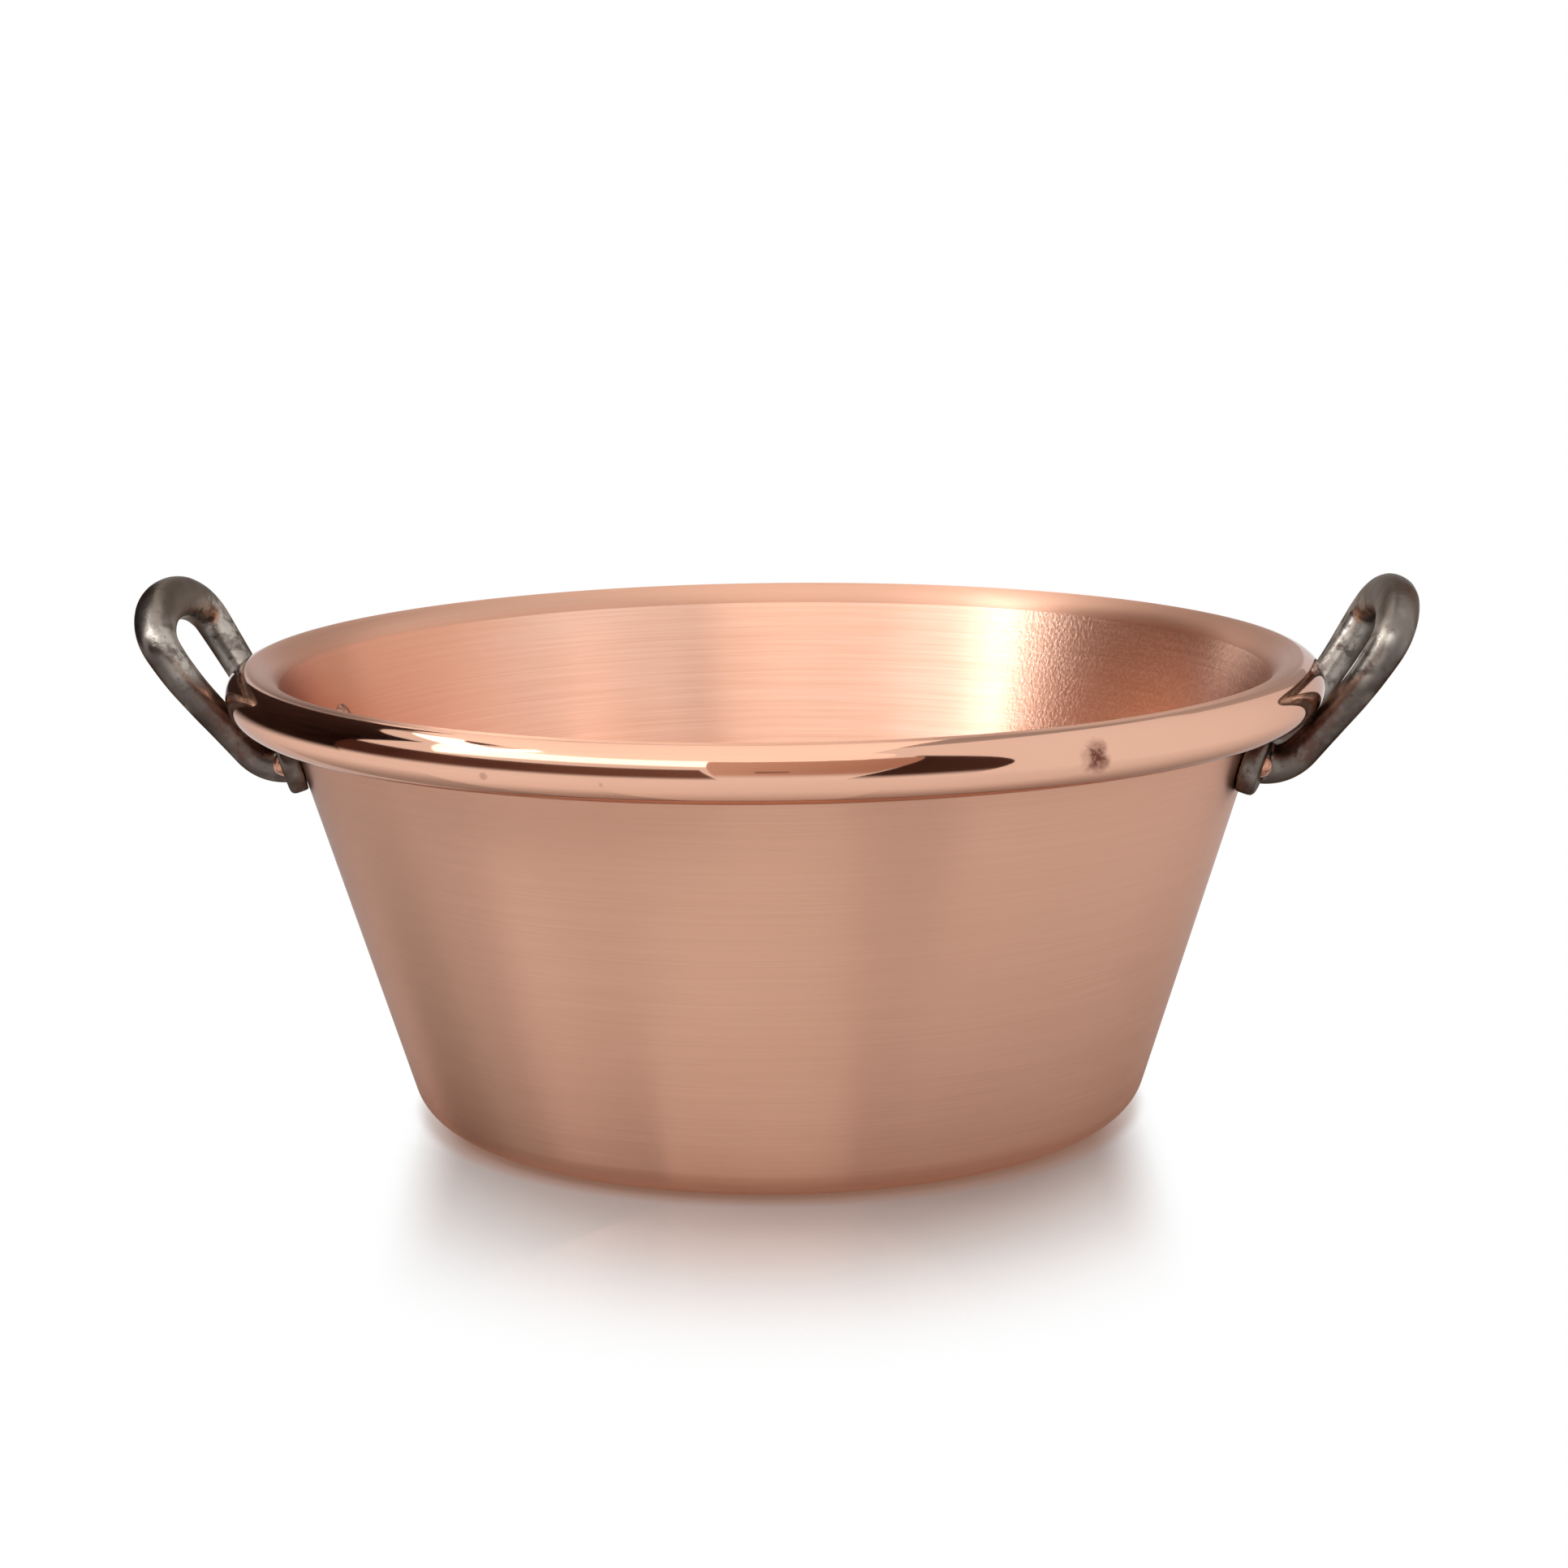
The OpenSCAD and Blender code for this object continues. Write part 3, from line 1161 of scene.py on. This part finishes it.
    def seat(self, mesh: Mesh) -> None:
        """Gives the casting its slight unevenness, and keeps its back off the wall.

        Args:
            mesh: the casting's mesh, as on the right side.
        """
        sheet = self.place.sheet
        wall_out = Vector((sheet.out[0], 0.0, sheet.out[1]))
        seed = Vector((self.side.value, 3.0, 7.0))
        moved = []
        for vertex in mesh.vertices:
            lump = noise.noise(vertex.co * self.lump_pitch + seed) * self.lump_height
            moved.append(vertex.co + vertex.normal * lump)
        for vertex, place in zip(mesh.vertices, moved):
            short = self.place.foot.seat_gap - sheet.wall_gap(place)
            if short > 0:
                turn = Matrix.Rotation(math.atan2(place.y, place.x), 4, "Z")
                place = place + (turn @ wall_out) * short
            vertex.co = place


@dataclass
class Rivet:
    """One copper rivet: shank, head on the foot and head inside the pan."""

    node: str
    side: Side
    end: float
    place: RivetPlace
    size: RivetSize
    look: RivetLook
    sides: int = 48
    dome_step: float = 6
    rim_share: float = 0.97
    dint_pitch: float = 420.0
    dint_height: float = 0.00012
    dint_spread: float = 60.0

    def build(self) -> Object:
        """Makes the rivet and dresses it.

        Returns:
            The piece.
        """
        d = self.size
        sheet = self.place.sheet
        outer = self.place.foot.thick + d.head_gap
        sag = (d.inner_d / 2) ** 2 / (2 * (self.place.radius - sheet.sheet_t))
        inner = -sheet.sheet_t - sag - d.head_gap
        profile = [(r, inner - z) for r, z in reversed(self.dome(d.inner_d, d.inner_h))]
        profile += [(d.shank_d / 2, inner), (d.shank_d / 2, outer)]
        profile += [(r, outer + z) for r, z in self.dome(d.outer_d, d.outer_h)]
        parts = MeshParts()
        parts.add_lathe(profile, self.sides)
        matrix = self.side.matrix @ self.place.matrix(self.end)
        parts.points = [tuple(matrix @ Vector(self.dinted(p))) for p in parts.points]
        piece = parts.build(self.node + "_dressed", [self.look.dress()])
        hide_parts(self.node)
        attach(piece, BODY)
        return piece

    def dome(self, width: float, height: float) -> list[Pair]:
        """Outline of a low domed head, from its edge to its middle.

        Args:
            width: the head's diameter.
            height: its height.

        Returns:
            Radius and height of each point.
        """
        ball = (width ** 2 / 4 + height ** 2) / (2 * height)
        edge = math.degrees(math.asin(1 - height / ball))
        points = arc((0.0, height - ball), ball, edge, 90, self.dome_step)
        points[-1] = (0.0, height)
        return [(width / 2 * self.rim_share, 0.0), *points]

    def dinted(self, point: Triple) -> Triple:
        """A head's point with the hammer's slight unevenness.

        Args:
            point: the point of the even head.

        Returns:
            The point after hammering.
        """
        seed = Vector((self.end, self.side.value, 1.0))
        shift = noise.noise(Vector(point) * self.dint_pitch + seed) * self.dint_height
        spread = 1 + shift * self.dint_spread
        return point[0] * spread, point[1] * spread, point[2] + shift


@dataclass(frozen=True)
class Card:
    """A card of the light tent, which only shows in the pan's reflections."""

    name: str
    grid: ClassVar[tuple[int, int]]

    def place(self, studio: "Studio", across: float, up: float) -> Vector:
        """A place on the card, at shares of the way across and up it."""
        raise NotImplementedError

    def dress(self) -> Material:
        """Makes its material."""
        raise NotImplementedError

    def hang(self, studio: "Studio") -> None:
        """Makes the card, with the shares of the way across and up it as its UV map.

        Args:
            studio: the studio that it hangs in.
        """
        columns, rows = self.grid
        parts = MeshParts()
        for i in range(columns + 1):
            parts.points.extend(tuple(self.place(studio, i / columns, j / rows)) for j in range(rows + 1))
        for i in range(columns):
            for j in range(rows):
                a = i * (rows + 1) + j
                parts.faces.append((a, a + rows + 1, a + rows + 2, a + 1))
        piece = parts.build(self.name, [self.dress()])
        shares = piece.data.uv_layers.new(name="shares")
        for corner in piece.data.loops:
            column, row = divmod(corner.vertex_index, rows + 1)
            shares.uv[corner.index].vector = (column / columns, row / rows)
        for kind in ("camera", "diffuse", "shadow", "transmission"):
            setattr(piece, "visible_" + kind, False)


@dataclass(frozen=True)
class TentCard(Card):
    """A curved upright card.

    Its edges are given as the azimuth from the camera's side and the elevation at
    which the roll shows them, in degrees. The bulge is how far its end bows out, also
    in degrees. The soft foot is the share of its height over which it fades in.
    """

    grid: ClassVar[tuple[int, int]] = (24, 12)
    start: Pair
    end: Pair
    low: float
    high: float
    distance: float
    first: Triple
    last: Triple
    soft_foot: float = 0.0
    bulge: float = 0.0
    cloud: Grain = Grain(9.0, 3.0, 0.55)
    cloud_share: float = 0.8

    def place(self, studio: "Studio", across: float, up: float) -> Vector:
        """A place on the card, at shares of the way from its start and from its foot."""
        edges = between(*self.start, up), between(*self.end, up) + self.bulge * up * (1 - up) * 4
        return studio.landing(between(*edges, across), between(self.low, self.high, up), self.distance)

    def dress(self) -> Material:
        """Makes its clouded colour, which fades out towards its foot.

        Returns:
            The material.
        """
        s = Shader.of_material(self.name)
        across = s.parts(s.place("UV"))[0]
        cloud = (s.noise(s.place(), self.cloud) - 0.5) * self.cloud_share
        surface = s.glow(s.blend((across + cloud).held(), self.first, self.last))
        if self.soft_foot > 0:
            risen = s.parts(s.place("Generated"))[2]
            surface = s.mixed(risen.ease(0.0, self.soft_foot), s.clear(), surface)
        return s.close(surface)


@dataclass(frozen=True)
class FloorCard(Card):
    """A thin dark glowing sheet on the floor, seen only in reflections, which puts painted shade on the
    part of the wall that shows it.

    It is given by the azimuths and the top height of that part of the wall.
    """

    grid: ClassVar[tuple[int, int]] = (24, 16)
    start: float
    end: float
    top: float
    share: float
    foot: float = 0.004
    colour: Triple = (0.05, 0.035, 0.03)
    thinning: Pair = (1.0, 0.35)

    def place(self, studio: "Studio", across: float, up: float) -> Vector:
        """A place on the sheet, at shares of the way across and up the wall's part."""
        return studio.mirrored(between(self.start, self.end, across), between(self.foot, self.top, up))

    def dress(self) -> Material:
        """Makes its dark glow, which thins out away from the pan.

        Returns:
            The material.
        """
        s = Shader.of_material(self.name)
        away = s.parts(s.place("UV"))[1]
        return s.close(s.mixed(away.ease(*self.thinning) * self.share, s.clear(), s.glow(self.colour)))


@dataclass(frozen=True)
class TopCard(Card):
    """A level card over the pan.

    Its corners, near left, far left, near right and far right, are given in metres to
    the camera's right and away from the camera.
    """

    grid: ClassVar[tuple[int, int]] = (1, 1)
    corners: tuple[Pair, Pair, Pair, Pair]
    colour: Triple
    height: float = 1.0

    def place(self, studio: "Studio", across: float, up: float) -> Vector:
        """A corner, where both shares, to the right and away, are 0 or 1."""
        right, ahead = self.corners[round(2 * across + up)]
        return studio.aim(90, 0) * right + studio.aim(180, 0) * ahead + Vector((0, 0, self.height))

    def dress(self) -> Material:
        """Makes its plain glow."""
        s = Shader.of_material(self.name)
        return s.close(s.glow(self.colour))


@dataclass(frozen=True)
class Lamp:
    """A soft rectangular lamp that faces the pan.

    Its azimuth from the camera's side and its elevation are in degrees, its distance
    and its two sizes in metres, and its radiance says how bright its face is.
    """

    name: str
    azimuth: float
    elevation: float
    distance: float
    width: float
    height: float
    radiance: float

    def hang(self, studio: "Studio") -> None:
        """Makes the lamp.

        Args:
            studio: the studio that it hangs in.
        """
        data = bpy.data.lights.new(self.name, "AREA")
        data.shape = "RECTANGLE"
        data.size = self.width
        data.size_y = self.height
        data.energy = self.radiance * math.pi * self.width * self.height
        lamp = put(self.name, data)
        aim = studio.aim(self.azimuth, self.elevation)
        lamp.location = aim * self.distance + Vector((0, 0, studio.lamp_target))
        lamp.rotation_mode = "QUATERNION"
        lamp.rotation_quaternion = aim.to_track_quat("Z", "Y")
        lamp.visible_camera = False


@dataclass(frozen=True)
class FloorLook:
    """Finish of the floor: paper with a painted shadow by the pan, a painted warm glow at the pan's foot, a
    faint mirror image, and white farther out.

    A pair of numbers is where something begins and where it is full, in metres from the
    pan's axis, and closer to it sideways by the squeeze. The last two pairs are in metres
    from the edge of the pan's base, without the squeeze.
    """

    # Painted shadow: the paper is made greyer near the pan, fading to the far tone farther out.
    painted_shadow_tone: Triple = (0.58, 0.56, 0.55)
    far_tone: Triple = (0.76, 0.75, 0.745)
    # Painted warm glow of light bounced from the copper, on the floor at the pan's foot.
    painted_bounce_glow: Triple = (0.36, 0.20, 0.14)
    squeeze: float = 1.45
    painted_shadow_reach: Pair = (0.14, 0.30)
    side_reach: Pair = (0.202, 0.160)
    white_reach: Pair = (0.15, 0.285)
    reflected_white_reach: Pair = (0.4, 0.9)
    mirror_reach: Pair = (0.305, 0.16)
    mirror_share: float = 0.38
    mirror_rough: float = 0.12
    under_reach: Pair = (0.001, -0.006)
    under_share: float = 0.5
    beside_reach: Pair = (0.030, 0.0)
    beside_share: float = 0.7

    def dress(self, side: Vector, front: Vector, foot: float) -> Material:
        """Makes the material.

        Args:
            side: level direction to the camera's right.
            front: level direction towards the camera.
            foot: radius of the edge of the pan's base.

        Returns:
            The material.
        """
        s = Shader.of_material("floor_paper")
        x, y, _ = s.parts(s.place())
        across = (x * side.x + y * side.y) * self.squeeze
        along = x * front.x + y * front.y
        away = (across * across + along * along).root()
        inside = across.size().ease(*self.side_reach)
        past_foot = (x * x + y * y).root() - foot
        camera = s.ray("Is Camera Ray")
        others = s.ray("Is Glossy Ray").greater(s.ray("Is Transmission Ray"))
        white = (1.0 - (1.0 - away.ease(*self.white_reach)) * inside) * camera
        white = white.greater(away.ease(*self.reflected_white_reach) * others)
        mirror = away.ease(*self.mirror_reach) * inside * camera * self.mirror_share
        # Painted warm glow: under the base's edge for the camera, and beside the foot for reflections in
        # the wall's bend.
        under = past_foot.ease(*self.under_reach) * camera * self.under_share
        beside = past_foot.ease(*self.beside_reach) * others * self.beside_share
        # Painted shadow: greyer paper near the pan.
        tone = s.blend(away.ease(*self.painted_shadow_reach), self.painted_shadow_tone, self.far_tone)
        surface = s.mixed(white, s.node("ShaderNodeBsdfDiffuse", {}, {"Color": tone}), s.glow(WHITE))
        gloss = {"Color": s.filled(WHITE), "Roughness": self.mirror_rough}
        surface = s.mixed(mirror, surface, s.node("ShaderNodeBsdfGlossy", {}, gloss))
        # The painted warm glow goes on last.
        return s.close(s.mixed(under.greater(beside), surface, s.glow(self.painted_bounce_glow)))


@dataclass
class Studio:
    """Floor, light tent, lamps and camera.

    Sizes are in metres and the turn in degrees, but the camera's own turns are in
    radians, and its sensor and lens in millimetres. The throw height is where the roll
    throws its rays from, and the cards end at the lowest height over the floor. Rays
    from the wall to the floor fall at least as steeply as the least fall, and end at the
    longest throw.
    """

    sheet: SpunSheet
    turn: float = 3.9
    camera_place: Triple = (0.0, -1.2787, 0.3646)
    camera_pan: float = 0.0022
    camera_tilt: float = 0.1894
    camera_roll: float = -0.0110
    sensor_width: float = 36.0
    lens: float = 80.83
    floor_half: float = 6.0
    floor_look: FloorLook = FloorLook()
    lamp_target: float = 0.12
    throw_height: float = 0.16
    lowest: float = 0.001
    sheet_lift: float = 0.0005
    least_fall: float = 0.05
    longest_throw: float = 0.6
    light_strength: float = 0.84
    cards: tuple[Card, ...] = (
        TentCard("card_dark_left", (-164, -164), (-98, -98), -13, 47, 0.75,
                 (0.05, 0.03, 0.025), (0.012, 0.006, 0.005), 0.15),
        TentCard("card_dark_top", (-168, -168), (-104, -118), 59, 80, 0.75,
                 (0.10, 0.07, 0.06), (0.05, 0.03, 0.025)),
        TentCard("card_brown_left", (-98, -98), (-11, -15), -13, 25, 0.36,
                 (0.07, 0.03, 0.022), (0.20, 0.115, 0.09), 0.3),
        TentCard("card_peach_middle", (-11, -15), (13.5, 34), -8, 58, 0.27,
                 (0.70, 0.52, 0.44), (0.50, 0.32, 0.25), 0.2),
        TentCard("card_lens", (-4, -4), (2.5, 2.5), 14, 20, 0.255,
                 (0.20, 0.11, 0.08), (0.30, 0.18, 0.14), 0.3),
        TentCard("card_dark_right", (12, 34), (36.5, 36.5), -19, 60, 0.30,
                 (0.05, 0.026, 0.020), (0.075, 0.042, 0.034), 0.15, 10.5),
        TentCard("card_cream", (-70, -60), (26, 44), 58, 78, 0.32,
                 (1.5, 1.45, 1.4), (1.35, 1.3, 1.25)),
        TentCard("card_grey_back", (152, 152), (208, 208), 12, 40, 0.9,
                 (0.58, 0.56, 0.54), (0.58, 0.56, 0.54)),
        # Dark floor sheets, which put painted shade on parts of the wall.
        FloorCard("floor_card_left", -58, -34.5, 0.18, 0.52),
        FloorCard("floor_card_middle", -34.5, -16.6, 0.13, 0.38),
        FloorCard("floor_card_wedge", -20.5, -16.6, 0.07, 0.20),
        FloorCard("floor_card_right", 9.8, 62, 0.13, 0.24),
        TopCard("top_card_cream", ((-0.55, -0.45), (-0.55, 1.6), (0.2, -0.45), (0.2, 1.6)),
                (1.4, 1.35, 1.3)),
        TopCard("top_card_right", ((0.2, 0.0), (0.2, 2.4), (0.95, 1.9), (0.95, 2.4)),
                (0.46, 0.45, 0.45)),
        TopCard("top_card_left", ((-0.95, 1.9), (-0.95, 2.4), (-0.55, 0.3), (-0.55, 2.4)),
                (0.50, 0.48, 0.47)),
    )
    lamps: tuple[Lamp, ...] = (
        Lamp("strip_lamp", -112, 53, 1.5, 1.15, 0.17, 2.6),
        Lamp("soft_lamp", -32, 50, 1.5, 2.26, 0.85, 1.72),
        Lamp("glint_lamp", -71.8, 48, 1.45, 0.07, 0.85, 18.0),
    )

    def aim(self, azimuth: float, elevation: float) -> Vector:
        """Direction from the pan, by degrees round from the camera's side and degrees up."""
        a, e = math.radians(azimuth + self.turn), math.radians(elevation)
        return Vector((math.sin(a) * math.cos(e), -math.cos(a) * math.cos(e), math.sin(e)))

    def landing(self, azimuth: float, elevation: float, distance: float) -> Vector:
        """Where a ray that the roll throws in a direction meets a card.

        Args:
            azimuth: the ray's azimuth from the camera's side, in degrees.
            elevation: its elevation.
            distance: the card's distance from the pan's axis, in metres.

        Returns:
            The place on the card.
        """
        start = self.aim(azimuth / 2, 0) * (self.sheet.rim_d / 2)
        level = self.aim(azimuth, 0)
        toward = start.dot(level)
        reach = math.sqrt(toward ** 2 + distance ** 2 - start.length_squared) - toward
        height = self.throw_height + reach * math.tan(math.radians(elevation))
        place = start + level * reach
        return Vector((place.x, place.y, max(height, self.lowest)))

    def mirrored(self, azimuth: float, height: float) -> Vector:
        """Where the camera's ray lands on the floor after the wall has thrown it back.

        Args:
            azimuth: azimuth of the place on the wall from the camera's side, in degrees.
            height: its height.

        Returns:
            The place on the floor.
        """
        level = self.aim(azimuth, 0)
        place = level * self.sheet.wall_radius(height) + Vector((0, 0, height))
        normal = level * self.sheet.out[0] + Vector((0, 0, self.sheet.out[1]))
        eye = Matrix.Rotation(math.radians(self.turn), 4, "Z") @ Vector(self.camera_place)
        ray = (place - eye).normalized().reflect(normal)
        reach = min((height - self.sheet_lift) / max(-ray.z, self.least_fall), self.longest_throw)
        return Vector((place.x + ray.x * reach, place.y + ray.y * reach, self.sheet_lift))

    def build(self) -> None:
        """Makes everything round the pan."""
        self.floor()
        for thing in (*self.cards, *self.lamps):
            thing.hang(self)
        self.world()
        self.camera()

    def floor(self) -> None:
        """Makes the pale floor."""
        half = self.floor_half
        corners = [(-half, -half, 0), (half, -half, 0), (half, half, 0), (-half, half, 0)]
        foot = self.sheet.bend_x + self.sheet.bend_r
        look = self.floor_look.dress(self.aim(90, 0), self.aim(0, 0), foot)
        floor = MeshParts(corners, [(0, 1, 2, 3)]).build("floor", [look])

    def world(self) -> None:
        """Makes the white surround, a little dimmer as light than it looks."""
        world = bpy.data.worlds.new("white_surround")
        bpy.context.scene.world = world
        s = Shader(world)
        seen = s.ray("Is Camera Ray").greater(s.ray("Is Glossy Ray"))
        seen = seen.greater(s.ray("Is Transmission Ray"))
        light, plain = (
            s.node("ShaderNodeBackground", {}, {"Color": s.filled(WHITE), "Strength": strength})
            for strength in (self.light_strength, 1.0))
        s.close(s.mixed(seen, light, plain))

    def camera(self) -> None:
        """Sets the camera where the photograph was taken from."""
        data = bpy.data.cameras.new("camera")
        data.sensor_fit = "HORIZONTAL"
        data.sensor_width = self.sensor_width
        data.lens = self.lens
        data.clip_start = 0.05
        data.clip_end = 30.0
        camera = put("camera", data)
        pan, tilt, roll = self.camera_pan, self.camera_tilt, self.camera_roll
        level_ahead = Vector((math.sin(pan), math.cos(pan), 0.0))
        ahead = level_ahead * math.cos(tilt) - Vector((0, 0, math.sin(tilt)))
        right = Vector((math.cos(pan), -math.sin(pan), 0.0))
        up = right.cross(ahead)
        level = math.cos(roll) * right + math.sin(roll) * up
        upright = math.cos(roll) * up - math.sin(roll) * right
        axes = Matrix((level, upright, -ahead)).transposed().to_4x4()
        place = Matrix.Translation(self.camera_place) @ axes
        camera.matrix_world = Matrix.Rotation(math.radians(self.turn), 4, "Z") @ place
        bpy.context.scene.camera = camera


def main() -> None:
    """Builds the pan and its studio."""
    logging.basicConfig(level=logging.INFO, format="%(name)s: %(message)s")
    sheet = SpunSheet()
    place = RivetPlace(sheet, FootSize())
    pieces = [PanBody(sheet).build()]
    for side, name, front in ((Side.LEFT, "left", 1.0), (Side.RIGHT, "right", -1.0)):
        handle = LoopHandle(name + "_loop", name + "_handle", side, place, LoopSize(), IronLook())
        pieces.append(handle.build())
        for word, end in (("front", front), ("rear", -front)):
            rivet = Rivet(f"{name}_{word}_rivet", side, end, place, RivetSize(), RivetLook())
            pieces.append(rivet.build())
    for piece in pieces:
        LOG.info("%s: %d faces", piece.name, len(piece.data.polygons))
    Studio(sheet).build()
    bpy.context.scene.view_settings.view_transform = "Standard"
    bpy.context.view_layer.update()


if __name__ == "__main__":
    main()
